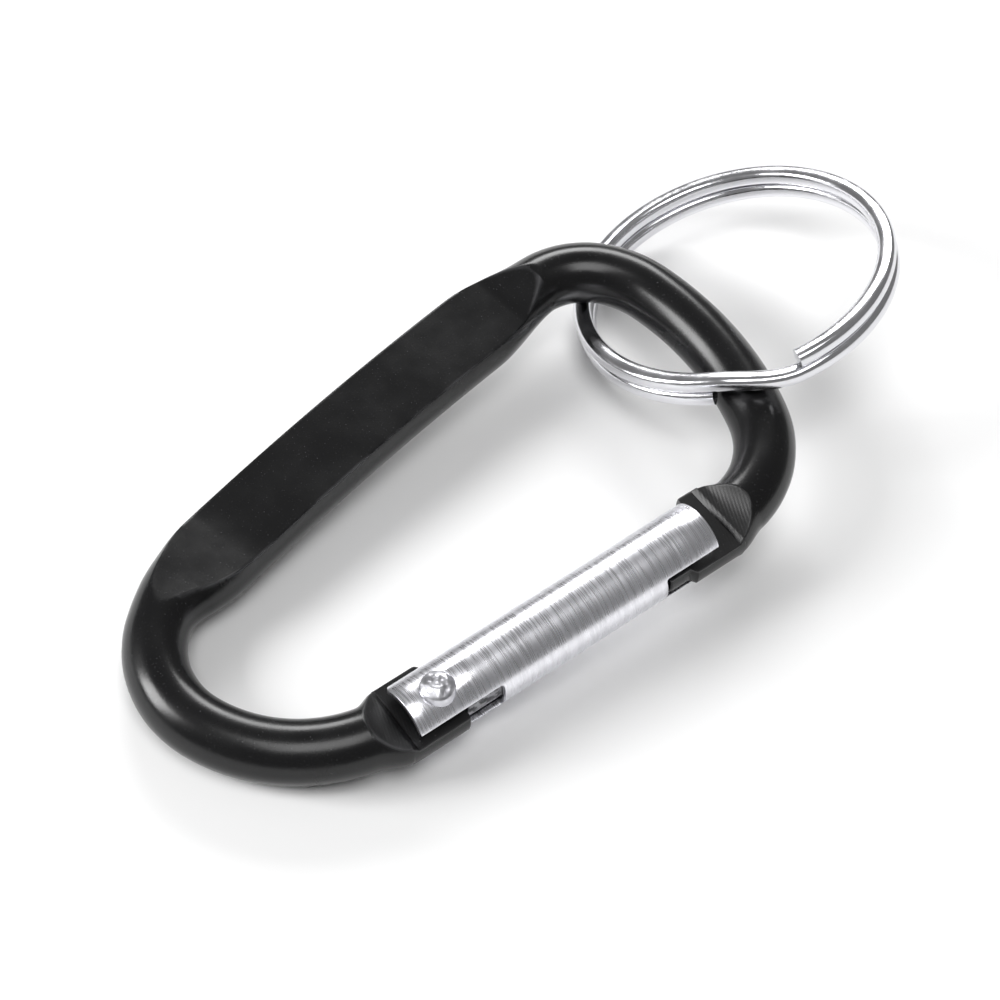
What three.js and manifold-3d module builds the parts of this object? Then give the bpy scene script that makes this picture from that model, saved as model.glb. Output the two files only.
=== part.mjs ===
// Carabiner keyring: a bent rod frame, a sprung tube gate riveted at one end, and a split ring.
// Millimetres, +Z up. The gate's axis runs along +X from the hinge to the nose, the spine lies on
// the +Y side, and the frame's mid-plane is horizontal.

import * as THREE from "three";
import { ParametricGeometry } from "three/addons/geometries/ParametricGeometry.js";
import { mergeVertices } from "three/addons/utils/BufferGeometryUtils.js";
import Module from "manifold-3d";

const wasm = await Module();
wasm.setup();

const RAD = Math.PI / 180;

// ---- driving dimensions ------------------------------------------------------------------

const ROD_DIAMETER = 6.0;

// The rod's centreline, from the pivot round to the nose, as tangent arcs turning one way.
const HINGE_STRAIGHT = 3.6; // from the pivot to the first bend
const HEEL_RADIUS = 15.65; // small end, in two arcs
const HEEL_TURN = 69;
const HEEL_SECOND_RADIUS = 10.0;
const HEEL_SECOND_TURN = 96.5;
const SPINE_LENGTH = 48;
const SPINE_BOW = 7.5; // degrees that the spine turns along its length
const BIG_END_RADIUS = 8.05;
const BIG_END_TURN = 60.5;
const SHOULDER_RADIUS = 10.9;
const SHOULDER_TURN = 24;
const SLANT_LENGTH = 18;
const SLANT_BOW = 31.7;

// Pressed spine.
const SPINE_THICKNESS = 3.5;
const SPINE_WIDTH = 8.4;
const FLAT_BACK = 27; // degrees of the small end's bend that the flat reaches back
const HEEL_RAMP = 11.0; // long shallow ramp at the small end
const HEAD_RAMP = 5.0; // short steep ramp at the big end
const HEAD_RAMP_PAST = 1.0; // mm of it past the spine, in the big end's bend
const WIDENING = 9.0; // mm over which the rod spreads to the spine's width at each end

// Milled ends.
const BLADE_THICKNESS = 1.9;
const BLADE_HALF_WIDTH = 3.8;
const RIDGE_THICKNESS = 2.7; // across the two ridges where the scoops meet the blade
const SCOOP_LENGTH = 2.6; // from ridge to the rod's full thickness
const HINGE_RIDGE_GAP = 1.1; // from the tube's hinge end to the ridge
const NOSE_RIDGE_GAP = 2.6; // from the tube's nose end to the ridge
const HINGE_BLADE_REACH = 1.5; // past the pivot
const NOSE_BLADE_REACH = 5.8; // into the tube
const NOSE_LIP_REACH = 3.0; // of the part that stands as wide as the tube

// Gate tube.
const TUBE_DIAMETER = 6.75;
const TUBE_WALL = 0.45;
const TUBE_TAIL = 3.5; // from the pivot to the tube's hinge end
const TUBE_REACH = 30.7; // from the pivot to the tube's nose end
const SLOT_GAP = 0.7; // between the blade's faces and the slots' edges
const HINGE_SLOT_REACH = 5.6; // outer slot, past the pivot
const INNER_SLOT_REACH = 3.6;
const NOSE_SLOT_GAP = 0.5; // past the nose blade's tip
const SLOT_CORNER = 0.3;
const OUTER_EAR_CORNER = 0.3; // plan radius of the tube's corners at the hinge
const INNER_EAR_CORNER = 1.6;
const DIMPLE_PLACE = 19.6; // past the pivot
const DIMPLE_RADIUS = 1.2;

// Rivet.
const PIVOT_OFFSET = 0.5; // towards the outer side of the tube's axis
const RIVET_RADIUS = 1.0;
const RIVET_HEAD_RADIUS = 1.68;
const RIVET_HEAD_HEIGHT = 0.95;
const RIVET_RUNNING_GAP = 0.09;
const RIVET_SEAT_GAP = 0.06;

// Plunger and spring.
const PLUNGER_GAP = 0.3; // to the blade's end at rest
const PLUNGER_LENGTH = 4.6;
const PLUNGER_CLEARANCE = 0.2;
const SPRING_WIRE = 0.6;
const SPRING_CLEARANCE = 0.3;
const SPRING_TURNS = 8;
const SPRING_GAP = 0.35; // to the plunger and to the dimple

// Split ring.
const RING_DIAMETER = 32.8;
const RING_WIRE_WIDTH = 1.84;
const RING_WIRE_HEIGHT = 1.66;
const RING_COIL_GAP = 0.06;
const RING_CROSSOVER = 32; // degrees between the two cut ends
const RING_CROSSOVER_PLACE = 239; // degrees round the ring, at its middle
const RING_UNDER = 6.359; // mm along the bar past the spine, where both coils pass under it
const RING_UNDER_GAP = 0.209;
const RING_OVER = 29.74; // mm along the bar past the spine, where the crossover lies over it
const RING_OVER_GAP = 0.21;
const RING_ROLL = 4.62; // degrees that the ring is rolled about the line between those two places

// ---- solids ------------------------------------------------------------------------------

// A closed three.js geometry as a solid that can be joined and cut.
function solidOf(geometry) {
  const bare = geometry.clone();
  bare.deleteAttribute("normal");
  bare.deleteAttribute("uv");
  const merged = mergeVertices(bare, 1e-4);
  const index = merged.index.array;
  const corners = [];
  for (let i = 0; i < index.length; i += 3) {
    const [a, b, c] = [index[i], index[i + 1], index[i + 2]];
    if (a !== b && b !== c && c !== a) corners.push(a, b, c);
  }
  return new wasm.Manifold(
    new wasm.Mesh({
      numProp: 3,
      vertProperties: merged.attributes.position.array,
      triVerts: new Uint32Array(corners),
    }),
  );
}

// A solid as a three.js geometry.
function geometryOf(solid) {
  const mesh = solid.getMesh();
  const geometry = new THREE.BufferGeometry();
  geometry.setAttribute("position", new THREE.BufferAttribute(mesh.vertProperties, 3));
  geometry.setIndex(new THREE.BufferAttribute(mesh.triVerts, 1));
  geometry.computeVertexNormals();
  return geometry;
}

function cylinderZ(radius, low, high, x, y, sides = 40) {
  const geometry = new THREE.CylinderGeometry(radius, radius, high - low, sides);
  return solidOf(geometry.rotateX(Math.PI / 2).translate(x, y, (low + high) / 2));
}

function cylinderX(radius, low, high, sides = 48) {
  const geometry = new THREE.CylinderGeometry(radius, radius, high - low, sides);
  return solidOf(geometry.rotateZ(-Math.PI / 2).translate((low + high) / 2, 0, 0));
}

// A flat plate of the given outline, centred on the mid-plane.
function plate(shape, thickness) {
  const settings = { depth: thickness, bevelEnabled: false, curveSegments: 8 };
  return solidOf(new THREE.ExtrudeGeometry(shape, settings).translate(0, 0, -thickness / 2));
}

// A sweep whose section may change along its length: at(u) gives the station's origin, its two
// section directions and the section's outline function of an angle. Both ends are closed.
function sweep(at, stations, sides) {
  const rows = stations + 2;
  const point = (u, v, target) => {
    const row = Math.round(u * rows);
    const end = row === 0 || row === rows;
    const s = Math.min(Math.max(row - 1, 0), stations) / stations;
    const { origin, across, up, outline } = at(s);
    const [a, b] = end ? [0, 0] : outline(2 * Math.PI * v);
    target.copy(origin).addScaledVector(across, a).addScaledVector(up, b);
  };
  return solidOf(new ParametricGeometry(point, rows, sides));
}

const smooth = (t) => {
  const c = Math.min(Math.max(t, 0), 1);
  return c * c * (3 - 2 * c);
};

// ---- the rod's centreline ----------------------------------------------------------------

// Walks a chain of tangent arcs in the mid-plane. Headings fall, so every arc turns clockwise.
class ArcChain {
  constructor(x, y, heading) {
    this.end = { x, y, heading };
    this.pieces = [];
    this.length = 0;
  }

  add(length, turnDegrees) {
    const { x, y, heading } = this.end;
    this.pieces.push({ x, y, heading, length, turn: turnDegrees * RAD, from: this.length });
    this.length += length;
    this.end = this.at(this.length);
    return this;
  }

  addArc(radius, turnDegrees) {
    return this.add(radius * turnDegrees * RAD, turnDegrees);
  }

  at(distance) {
    let piece = this.pieces[0];
    for (const p of this.pieces) if (distance >= p.from) piece = p;
    const t = distance - piece.from;
    const heading = piece.heading - (piece.turn * t) / piece.length;
    if (piece.turn === 0) {
      return {
        x: piece.x + t * Math.cos(heading),
        y: piece.y + t * Math.sin(heading),
        heading,
      };
    }
    const radius = piece.length / piece.turn;
    return {
      x: piece.x - radius * (Math.sin(heading) - Math.sin(piece.heading)),
      y: piece.y + radius * (Math.cos(heading) - Math.cos(piece.heading)),
      heading,
    };
  }
}

const rodRadius = ROD_DIAMETER / 2;
const tubeRadius = TUBE_DIAMETER / 2;
const boreRadius = tubeRadius - TUBE_WALL;
const rodOverrun = 1.0; // the rod runs this far past a ridge, where the scoops cut it away

// Where the tube, the ridges and the blades stand along the gate's axis.
const hingeRidge = -TUBE_TAIL - HINGE_RIDGE_GAP;
const noseRidge = TUBE_REACH + NOSE_RIDGE_GAP;
const noseBladeTip = TUBE_REACH - NOSE_BLADE_REACH;

const chain = new ArcChain(hingeRidge + rodOverrun, 0, Math.PI);
chain.add(Math.max(chain.end.x + HINGE_STRAIGHT, 0.001), 0);
chain.addArc(HEEL_RADIUS, HEEL_TURN);
chain.addArc(HEEL_SECOND_RADIUS, HEEL_SECOND_TURN);
const spineStart = chain.length;
chain.add(SPINE_LENGTH, SPINE_BOW);
const spineEnd = chain.length;
chain.addArc(BIG_END_RADIUS, BIG_END_TURN);
chain.addArc(SHOULDER_RADIUS, SHOULDER_TURN);
chain.add(SLANT_LENGTH, SLANT_BOW);
// The nose bend takes what is left of the full turn, with the radius that lands on the gate's axis.
const noseTurn =
  360 - HEEL_TURN - HEEL_SECOND_TURN - SPINE_BOW - BIG_END_TURN - SHOULDER_TURN - SLANT_BOW;
chain.addArc(chain.end.y / (1 - Math.cos(noseTurn * RAD)), noseTurn);
chain.add(Math.max(chain.end.x - noseRidge, 0) + rodOverrun, 0);

// ---- frame -------------------------------------------------------------------------------

// How far the press has closed at a distance along the rod, from 0 on the round rod to 1 on the
// flat, and how far the rod has spread sideways there.
function pressed(distance) {
  const start = spineStart - HEEL_SECOND_RADIUS * FLAT_BACK * RAD;
  const end = spineEnd + HEAD_RAMP_PAST;
  const limit = (t) => Math.min(Math.max(t, 0), 1);
  const flat = Math.min(limit((distance - start) / HEEL_RAMP), limit((end - distance) / HEAD_RAMP));
  const spread = Math.min(smooth((distance - start) / WIDENING), smooth((end - distance) / WIDENING));
  return { flat, spread };
}

// The rod, pressed along the spine and swaged wider where each blade is milled.
function rod() {
  const swageLength = 2.4;
  const at = (s) => {
    const distance = s * chain.length;
    const { x, y, heading } = chain.at(distance);
    const { flat, spread } = pressed(distance);
    const radius = rodRadius + (SPINE_WIDTH / 2 - rodRadius) * spread;
    const half = rodRadius + (SPINE_THICKNESS / 2 - rodRadius) * flat;
    const toEnd = Math.min(distance, chain.length - distance) - rodOverrun;
    const swage = (BLADE_HALF_WIDTH - rodRadius) * (1 - smooth(toEnd / swageLength));
    return {
      origin: new THREE.Vector3(x, y, 0),
      across: new THREE.Vector3(Math.sin(heading), -Math.cos(heading), 0),
      up: new THREE.Vector3(0, 0, 1),
      outline: (angle) => {
        const z = Math.max(-half, Math.min(half, radius * Math.sin(angle)));
        return [(radius + swage) * Math.cos(angle), z];
      },
    };
  };
  return sweep(at, 100, 28);
}

// A cutter that leaves a concave scoop from the ridge up to the rod's face, and clears all that
// lies above the blade on the gate's side of the ridge. side is +1 above and -1 below, and along
// is the direction from the ridge into the rod.
function scoopCutter(ridge, along, side) {
  const ridgeHeight = RIDGE_THICKNESS / 2;
  const bladeHeight = BLADE_THICKNESS / 2;
  const reach = 8;
  const top = rodRadius + 1;
  const blend = 0.5; // from the blade's face up to the ridge
  const rise = rodRadius - ridgeHeight;
  const profile = new THREE.Shape();
  profile.moveTo(-reach, bladeHeight);
  profile.lineTo(-blend, bladeHeight);
  profile.lineTo(0, ridgeHeight);
  profile.quadraticCurveTo(
    SCOOP_LENGTH * 0.6, ridgeHeight + rise * 0.25, SCOOP_LENGTH, rodRadius);
  profile.lineTo(SCOOP_LENGTH + 0.4, top);
  profile.lineTo(-reach, top);
  const width = 4 * rodRadius;
  const settings = { depth: width, bevelEnabled: false, curveSegments: 6 };
  const geometry = new THREE.ExtrudeGeometry(profile, settings);
  geometry.translate(0, 0, -width / 2);
  geometry.rotateX(Math.PI / 2); // the profile's height is now along +Z
  if (side < 0) geometry.rotateX(Math.PI);
  if (along < 0) geometry.rotateZ(Math.PI);
  geometry.translate(ridge, 0, 0);
  return solidOf(geometry);
}

// The flat blade that fills the tube's hinge end: its outer edge stands out of the slot as a lip,
// and its sloped end pushes the plunger as the gate swings.
function hingeBlade() {
  const half = BLADE_HALF_WIDTH;
  const tip = HINGE_BLADE_REACH;
  const shape = new THREE.Shape();
  shape.moveTo(hingeRidge - 0.4, 0.1 - half);
  shape.lineTo(hingeRidge + 0.6, -half);
  shape.lineTo(tip - 0.3, -half);
  shape.lineTo(tip, 0.3 - half);
  shape.lineTo(tip, 0.2);
  shape.lineTo(tip - 0.6, half - 0.9);
  shape.quadraticCurveTo(tip - 0.7, half - 0.1, tip - 1.4, half);
  shape.lineTo(hingeRidge + 0.6, half);
  shape.lineTo(hingeRidge - 0.4, half - 0.1);
  return plate(shape, BLADE_THICKNESS);
}

// The blade that fills the tube's nose end through the outer slot: a lip that stands out of the
// slot, a narrower tongue, and a nib on the inner side just clear of the tube's end.
function noseBlade() {
  const half = BLADE_HALF_WIDTH;
  const inside = boreRadius - 0.35;
  const tongue = boreRadius + 0.2;
  const lip = TUBE_REACH - NOSE_LIP_REACH;
  const tip = noseBladeTip;
  const shape = new THREE.Shape();
  shape.moveTo(noseRidge + 0.4, 0.1 - half);
  shape.lineTo(noseRidge + 0.4, half - 0.1);
  shape.lineTo(noseRidge - 0.8, half + 0.1);
  shape.lineTo(TUBE_REACH + 0.4, half + 0.1);
  shape.lineTo(TUBE_REACH + 0.35, inside);
  shape.lineTo(tip + 1.6, inside);
  shape.lineTo(tip, 0.9);
  shape.lineTo(tip, 0.3 - tongue);
  shape.lineTo(tip + 0.3, -tongue);
  shape.lineTo(lip - 0.5, -tongue);
  shape.lineTo(lip, -half);
  return plate(shape, BLADE_THICKNESS);
}

function frameSolid() {
  const pinHole = cylinderZ(
    RIVET_RADIUS + RIVET_RUNNING_GAP, -rodRadius, rodRadius, 0, -PIVOT_OFFSET);
  const cutters = [];
  for (const side of [1, -1]) {
    cutters.push(scoopCutter(hingeRidge, -1, side));
    cutters.push(scoopCutter(noseRidge, 1, side));
  }
  const milled = wasm.Manifold.difference([rod(), ...cutters]);
  const joined = wasm.Manifold.union([milled, hingeBlade(), noseBlade()]);
  return joined.subtract(pinHole);
}

// ---- gate tube ---------------------------------------------------------------------------

const slotHalf = BLADE_THICKNESS / 2 + SLOT_GAP;

// A slot through one side of the tube's wall, with slightly rounded corners at its end.
function slot(from, to, side) {
  const forward = Math.sign(to - from);
  const corner = to - forward * SLOT_CORNER;
  const shape = new THREE.Shape();
  shape.moveTo(from, -slotHalf);
  shape.lineTo(corner, -slotHalf);
  shape.quadraticCurveTo(to, -slotHalf, to, SLOT_CORNER - slotHalf);
  shape.lineTo(to, slotHalf - SLOT_CORNER);
  shape.quadraticCurveTo(to, slotHalf, corner, slotHalf);
  shape.lineTo(from, slotHalf);
  const settings = { depth: tubeRadius + 1, bevelEnabled: false, curveSegments: 4 };
  const geometry = new THREE.ExtrudeGeometry(shape, settings);
  geometry.rotateX(side < 0 ? Math.PI / 2 : -Math.PI / 2);
  return solidOf(geometry);
}

// The tube's plan outline, with round corners at the hinge so that the ears clear the scoop.
function tubePlan() {
  const wide = tubeRadius + 0.5;
  const [inner, outer] = [INNER_EAR_CORNER, OUTER_EAR_CORNER];
  const shape = new THREE.Shape();
  shape.moveTo(TUBE_REACH, -wide);
  shape.lineTo(TUBE_REACH, wide);
  shape.lineTo(inner - TUBE_TAIL, wide);
  shape.lineTo(inner - TUBE_TAIL, tubeRadius);
  shape.absarc(inner - TUBE_TAIL, tubeRadius - inner, inner, Math.PI / 2, Math.PI, false);
  shape.absarc(outer - TUBE_TAIL, outer - tubeRadius, outer, Math.PI, Math.PI * 1.5, false);
  shape.lineTo(outer - TUBE_TAIL, -wide);
  return plate(shape, TUBE_DIAMETER + 1);
}

function tubeSolid() {
  const ends = 1;
  const outside = cylinderX(tubeRadius, -TUBE_TAIL - ends, TUBE_REACH + ends);
  const bore = cylinderX(boreRadius, -TUBE_TAIL - 2 * ends, TUBE_REACH + 2 * ends);
  // The crimp: the wall pushed in as a small cup that stops the spring.
  const crimpCentre = [DIMPLE_PLACE, 0, -tubeRadius - 0.2];
  const ball = (radius) =>
    solidOf(new THREE.SphereGeometry(radius, 20, 12).translate(...crimpCentre));
  const cup = ball(DIMPLE_RADIUS + TUBE_WALL).intersect(outside);
  const wall = outside.subtract(bore).add(cup).subtract(ball(DIMPLE_RADIUS));
  const rivetHole = cylinderZ(
    RIVET_RADIUS + RIVET_SEAT_GAP, -tubeRadius - 1, tubeRadius + 1, 0, -PIVOT_OFFSET);
  return wasm.Manifold.difference([
    wall.intersect(tubePlan()),
    slot(-TUBE_TAIL - ends, HINGE_SLOT_REACH, -1),
    slot(-TUBE_TAIL - ends, INNER_SLOT_REACH, 1),
    slot(TUBE_REACH + ends, noseBladeTip - NOSE_SLOT_GAP, -1),
    rivetHole,
  ]);
}

// ---- rivet -------------------------------------------------------------------------------

// Built about its own axis; the heads' undersides follow the tube's round.
function rivetSolid() {
  const saddle = cylinderX(tubeRadius + RIVET_SEAT_GAP, -4, 4, 64);
  const shank = cylinderZ(RIVET_RADIUS, -tubeRadius - 0.2, tubeRadius + 0.2, 0, 0);
  const head = (side) => {
    const low = tubeRadius - 1.0;
    const rim = tubeRadius + 0.12;
    const profile = [new THREE.Vector2(0, low), new THREE.Vector2(RIVET_HEAD_RADIUS, low)];
    const steps = 7;
    for (let i = 0; i <= steps; i++) {
      const angle = (i / steps) * Math.PI * 0.5;
      const radius = i === steps ? 0 : RIVET_HEAD_RADIUS * Math.cos(angle);
      const height = rim + (RIVET_HEAD_HEIGHT - 0.12) * Math.sin(angle);
      profile.push(new THREE.Vector2(radius, height));
    }
    const geometry = new THREE.LatheGeometry(profile, 32).rotateX(Math.PI / 2);
    if (side < 0) geometry.rotateX(Math.PI);
    return solidOf(geometry).subtract(saddle.translate([0, PIVOT_OFFSET, 0]));
  };
  return wasm.Manifold.union([shank, head(1), head(-1)]);
}

// ---- plunger and spring ------------------------------------------------------------------

const plungerStart = HINGE_BLADE_REACH + PLUNGER_GAP;
const plungerEnd = plungerStart + PLUNGER_LENGTH;
const springOuter = boreRadius - SPRING_CLEARANCE;

// A plug with a guide pin that stands inside the spring's first coils.
function plungerGeometry() {
  const radius = boreRadius - PLUNGER_CLEARANCE;
  const pin = springOuter - SPRING_WIRE - 0.3;
  const edge = 0.25;
  const profile = [
    [0, 0],
    [radius - edge, 0],
    [radius, edge],
    [radius, PLUNGER_LENGTH],
    [pin, PLUNGER_LENGTH],
    [pin, PLUNGER_LENGTH + 2.0],
    [pin - edge, PLUNGER_LENGTH + 2.0 + edge],
    [0, PLUNGER_LENGTH + 2.0 + edge],
  ].map(([r, z]) => new THREE.Vector2(r, z));
  return new THREE.LatheGeometry(profile, 32).rotateZ(-Math.PI / 2);
}

// A compression spring along +X with closed end coils.
function springGeometry(length) {
  const wire = SPRING_WIRE / 2;
  const coil = springOuter - wire;
  const travel = length - SPRING_WIRE;
  const closed = 1 / SPRING_TURNS; // share of the turns that lie close at each end
  const closedRise = (SPRING_WIRE + 0.08) / travel;
  const rise = (s) => {
    if (s < closed) return (s / closed) * closedRise;
    if (s > 1 - closed) return 1 - ((1 - s) / closed) * closedRise;
    return closedRise + ((s - closed) / (1 - 2 * closed)) * (1 - 2 * closedRise);
  };
  const at = (s) => {
    const angle = 2 * Math.PI * SPRING_TURNS * s;
    const outward = new THREE.Vector3(0, Math.cos(angle), Math.sin(angle));
    return {
      origin: outward.clone().multiplyScalar(coil).setX(wire + rise(s) * travel),
      across: outward,
      up: new THREE.Vector3(1, 0, 0),
      outline: (a) => [wire * Math.cos(a), wire * Math.sin(a)],
    };
  };
  return geometryOf(sweep(at, SPRING_TURNS * 20, 8));
}

// ---- split ring --------------------------------------------------------------------------

// One wire wound nearly twice round its own +Z axis: the upper coil from its cut end, down
// through the crossover and on round the lower coil. Turns from +X; place is the crossover's middle.
function ringGeometry() {
  const coil = (RING_DIAMETER - RING_WIRE_WIDTH) / 2;
  const lift = (RING_WIRE_HEIGHT + RING_COIL_GAP) / 2;
  const full = 720 - RING_CROSSOVER;
  const first = RING_CROSSOVER_PLACE + RING_CROSSOVER / 2 - 360;
  const at = (s) => {
    const turned = s * full;
    const angle = (first + turned) * RAD;
    const down = smooth((turned - (360 - RING_CROSSOVER)) / RING_CROSSOVER);
    const outward = new THREE.Vector3(Math.cos(angle), Math.sin(angle), 0);
    return {
      origin: outward.clone().multiplyScalar(coil).setZ(lift * (1 - 2 * down)),
      across: outward,
      up: new THREE.Vector3(0, 0, 1),
      outline: (a) => {
        const soft = (v) => Math.sign(v) * Math.abs(v) ** 0.72;
        return [
          (RING_WIRE_WIDTH / 2) * soft(Math.cos(a)),
          (RING_WIRE_HEIGHT / 2) * soft(Math.sin(a)),
        ];
      },
    };
  };
  return geometryOf(sweep(at, 140, 12));
}

// Where the ring's middle is and how its axis stands: it hangs on the bar at two places, with both
// coils under one of them and only the crossover over the other.
function ringPlace() {
  const coil = (RING_DIAMETER - RING_WIRE_WIDTH) / 2;
  const stack = RING_WIRE_HEIGHT + RING_COIL_GAP / 2;
  const low = chain.at(spineEnd + RING_UNDER);
  const high = chain.at(spineEnd + RING_OVER);
  const under = new THREE.Vector3(low.x, low.y, -(rodRadius + stack + RING_UNDER_GAP));
  const over = new THREE.Vector3(high.x, high.y, rodRadius + RING_WIRE_HEIGHT / 2 + RING_OVER_GAP);
  const chord = over.clone().sub(under);
  const level = new THREE.Vector3(0, 0, 1).cross(chord).normalize();
  const rise = chord.clone().cross(level).normalize();
  const outward = level.multiplyScalar(Math.cos(RING_ROLL * RAD));
  outward.addScaledVector(rise, Math.sin(RING_ROLL * RAD));
  const centre = under.clone().add(over).multiplyScalar(0.5);
  centre.addScaledVector(outward, Math.sqrt(coil ** 2 - chord.lengthSq() / 4));
  return { centre, axis: chord.clone().cross(outward).normalize() };
}

// ---- materials and assembly --------------------------------------------------------------

function finish(color, metalness, roughness) {
  return new THREE.MeshStandardMaterial({ color, metalness, roughness });
}

function piece(name, geometry, material) {
  const mesh = new THREE.Mesh(geometry, material);
  mesh.name = name;
  return mesh;
}

const frame = piece("frame", geometryOf(frameSolid()), finish(0x17181a, 0.6, 0.4));
const tube = piece("gate_tube", geometryOf(tubeSolid()), finish(0xc9cad0, 1.0, 0.35));

const rivet = piece("pivot_rivet", geometryOf(rivetSolid()), finish(0xc2c3c8, 1.0, 0.45));
rivet.position.set(0, -PIVOT_OFFSET, 0);

const plunger = piece("spring_plunger", plungerGeometry(), finish(0x5c5d60, 1.0, 0.5));
plunger.position.set(plungerStart, 0, 0);

const springFrom = plungerEnd + SPRING_GAP;
const springTo = DIMPLE_PLACE - DIMPLE_RADIUS - TUBE_WALL - SPRING_GAP;
const spring = piece("gate_spring", springGeometry(springTo - springFrom), finish(0x9a9ca0, 1.0, 0.4));
spring.position.set(springFrom, 0, 0);

const ring = piece("split_ring", ringGeometry(), finish(0xd4d5da, 1.0, 0.2));
const ringPose = ringPlace();
ring.position.copy(ringPose.centre);
ring.quaternion.setFromUnitVectors(new THREE.Vector3(0, 0, 1), ringPose.axis);

const gate = new THREE.Group();
gate.add(tube, rivet, plunger, spring);

// Stood so that the lowest point is on the floor and the middle of the box is at the origin.
const assembly = new THREE.Group();
assembly.add(frame, gate, ring);
assembly.updateMatrixWorld(true);
const bounds = new THREE.Box3().setFromObject(assembly, true);
const middle = bounds.getCenter(new THREE.Vector3());
assembly.position.set(-middle.x, -middle.y, -bounds.min.z);

const group = new THREE.Group();
group.add(assembly);

export default group;
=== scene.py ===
"""Carabiner keyring: a bent black rod, a sprung tube gate on a rivet, and a split ring."""

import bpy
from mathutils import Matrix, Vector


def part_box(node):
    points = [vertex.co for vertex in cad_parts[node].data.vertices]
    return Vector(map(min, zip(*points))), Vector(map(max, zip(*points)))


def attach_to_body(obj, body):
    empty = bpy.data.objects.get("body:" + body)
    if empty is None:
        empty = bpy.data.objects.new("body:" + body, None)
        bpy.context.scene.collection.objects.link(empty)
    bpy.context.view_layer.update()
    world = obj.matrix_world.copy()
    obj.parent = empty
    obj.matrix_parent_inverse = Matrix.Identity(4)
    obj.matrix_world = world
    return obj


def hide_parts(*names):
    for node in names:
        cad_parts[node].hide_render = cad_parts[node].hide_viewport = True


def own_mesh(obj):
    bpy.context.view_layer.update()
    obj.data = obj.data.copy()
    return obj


bl_info = {
    "name": "Carabiner Keyring",
    "version": (1, 0, 0),
    "blender": (4, 5, 0),
    "location": "3D View > Sidebar > Keyring",
    "description": "Builds a small carabiner with its gate and split ring",
    "category": "Add Mesh",
}

import math

import bmesh
import bpy
from bpy.props import FloatProperty, FloatVectorProperty, IntProperty, PointerProperty
from mathutils import Matrix, Vector, noise

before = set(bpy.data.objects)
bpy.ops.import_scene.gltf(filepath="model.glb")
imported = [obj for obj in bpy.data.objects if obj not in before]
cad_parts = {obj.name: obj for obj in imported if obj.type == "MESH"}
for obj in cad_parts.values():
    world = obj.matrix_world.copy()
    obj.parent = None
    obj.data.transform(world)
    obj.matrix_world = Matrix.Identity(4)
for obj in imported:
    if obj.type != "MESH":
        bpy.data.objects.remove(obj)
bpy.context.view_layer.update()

MM = 0.001
TURN = 2.0 * math.pi

# Where the gate's axis and the rivet stand, in metres.
RIVET_LOW, RIVET_HIGH = (Vector(corner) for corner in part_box("pivot_rivet"))
TUBE_LOW, TUBE_HIGH = (Vector(corner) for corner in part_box("gate_tube"))
PIVOT = Vector(((RIVET_LOW.x + RIVET_HIGH.x) / 2, (RIVET_LOW.y + RIVET_HIGH.y) / 2,
                (RIVET_LOW.z + RIVET_HIGH.z) / 2))
AXIS_Y = (TUBE_LOW.y + TUBE_HIGH.y) / 2
HUB = Vector((PIVOT.x, AXIS_Y, PIVOT.z))
TUBE_TAIL = (PIVOT.x - TUBE_LOW.x) / MM
TUBE_REACH = (TUBE_HIGH.x - PIVOT.x) / MM


# ---- sizes and colours -------------------------------------------------------------------


class KeyringSizes(bpy.types.PropertyGroup):
    """Sizes of the carabiner, its gate and its ring."""

    rod: FloatProperty(name="Rod", description="Diameter of the bent rod",
                       default=6.0 * MM, unit="LENGTH")
    spine_width: FloatProperty(name="Spine Width", description="Width of the pressed spine",
                               default=8.4 * MM, unit="LENGTH")
    spine_thickness: FloatProperty(name="Spine Thickness", description="Across the pressed flats",
                                   default=3.5 * MM, unit="LENGTH")
    blade: FloatProperty(name="Blade", description="Thickness of the milled blades",
                         default=1.9 * MM, unit="LENGTH")
    tube: FloatProperty(name="Gate Tube", description="Outside diameter of the gate tube",
                        default=6.75 * MM, unit="LENGTH")
    tube_wall: FloatProperty(name="Tube Wall", description="Wall thickness of the gate tube",
                             default=0.45 * MM, unit="LENGTH")
    rivet_head: FloatProperty(name="Rivet Head", description="Diameter of the rivet's heads",
                              default=3.36 * MM, unit="LENGTH")
    spring_wire: FloatProperty(name="Spring Wire", description="Diameter of the spring's wire",
                               default=0.6 * MM, unit="LENGTH")
    ring: FloatProperty(name="Ring", description="Outside diameter of the split ring",
                        default=32.8 * MM, unit="LENGTH")
    ring_wire_width: FloatProperty(name="Ring Wire Width", description="Across the ring's wire",
                                   default=1.84 * MM, unit="LENGTH")
    ring_wire_height: FloatProperty(name="Ring Wire Height", description="Height of one coil",
                                    default=1.66 * MM, unit="LENGTH")
    ring_steps: IntProperty(name="Ring Steps", description="Stations along the ring's wire",
                            default=560, min=60)


class KeyringColours(bpy.types.PropertyGroup):
    """Colours of the finishes."""

    anodised: FloatVectorProperty(name="Anodised Frame", description="Black anodised skin",
                                  default=(0.005, 0.005, 0.0054), size=3, subtype="COLOR")
    aluminium: FloatVectorProperty(name="Gate Aluminium", description="Drawn tube",
                                   default=(0.90, 0.90, 0.945), size=3, subtype="COLOR")
    nickel: FloatVectorProperty(name="Ring Nickel", description="Plated ring wire",
                                default=(0.80, 0.80, 0.83), size=3, subtype="COLOR")
    floor: FloatVectorProperty(name="Floor", description="Plain pale floor",
                               default=(0.95, 0.95, 0.95), size=3, subtype="COLOR")


# ---- shared shader groups ----------------------------------------------------------------


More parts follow.
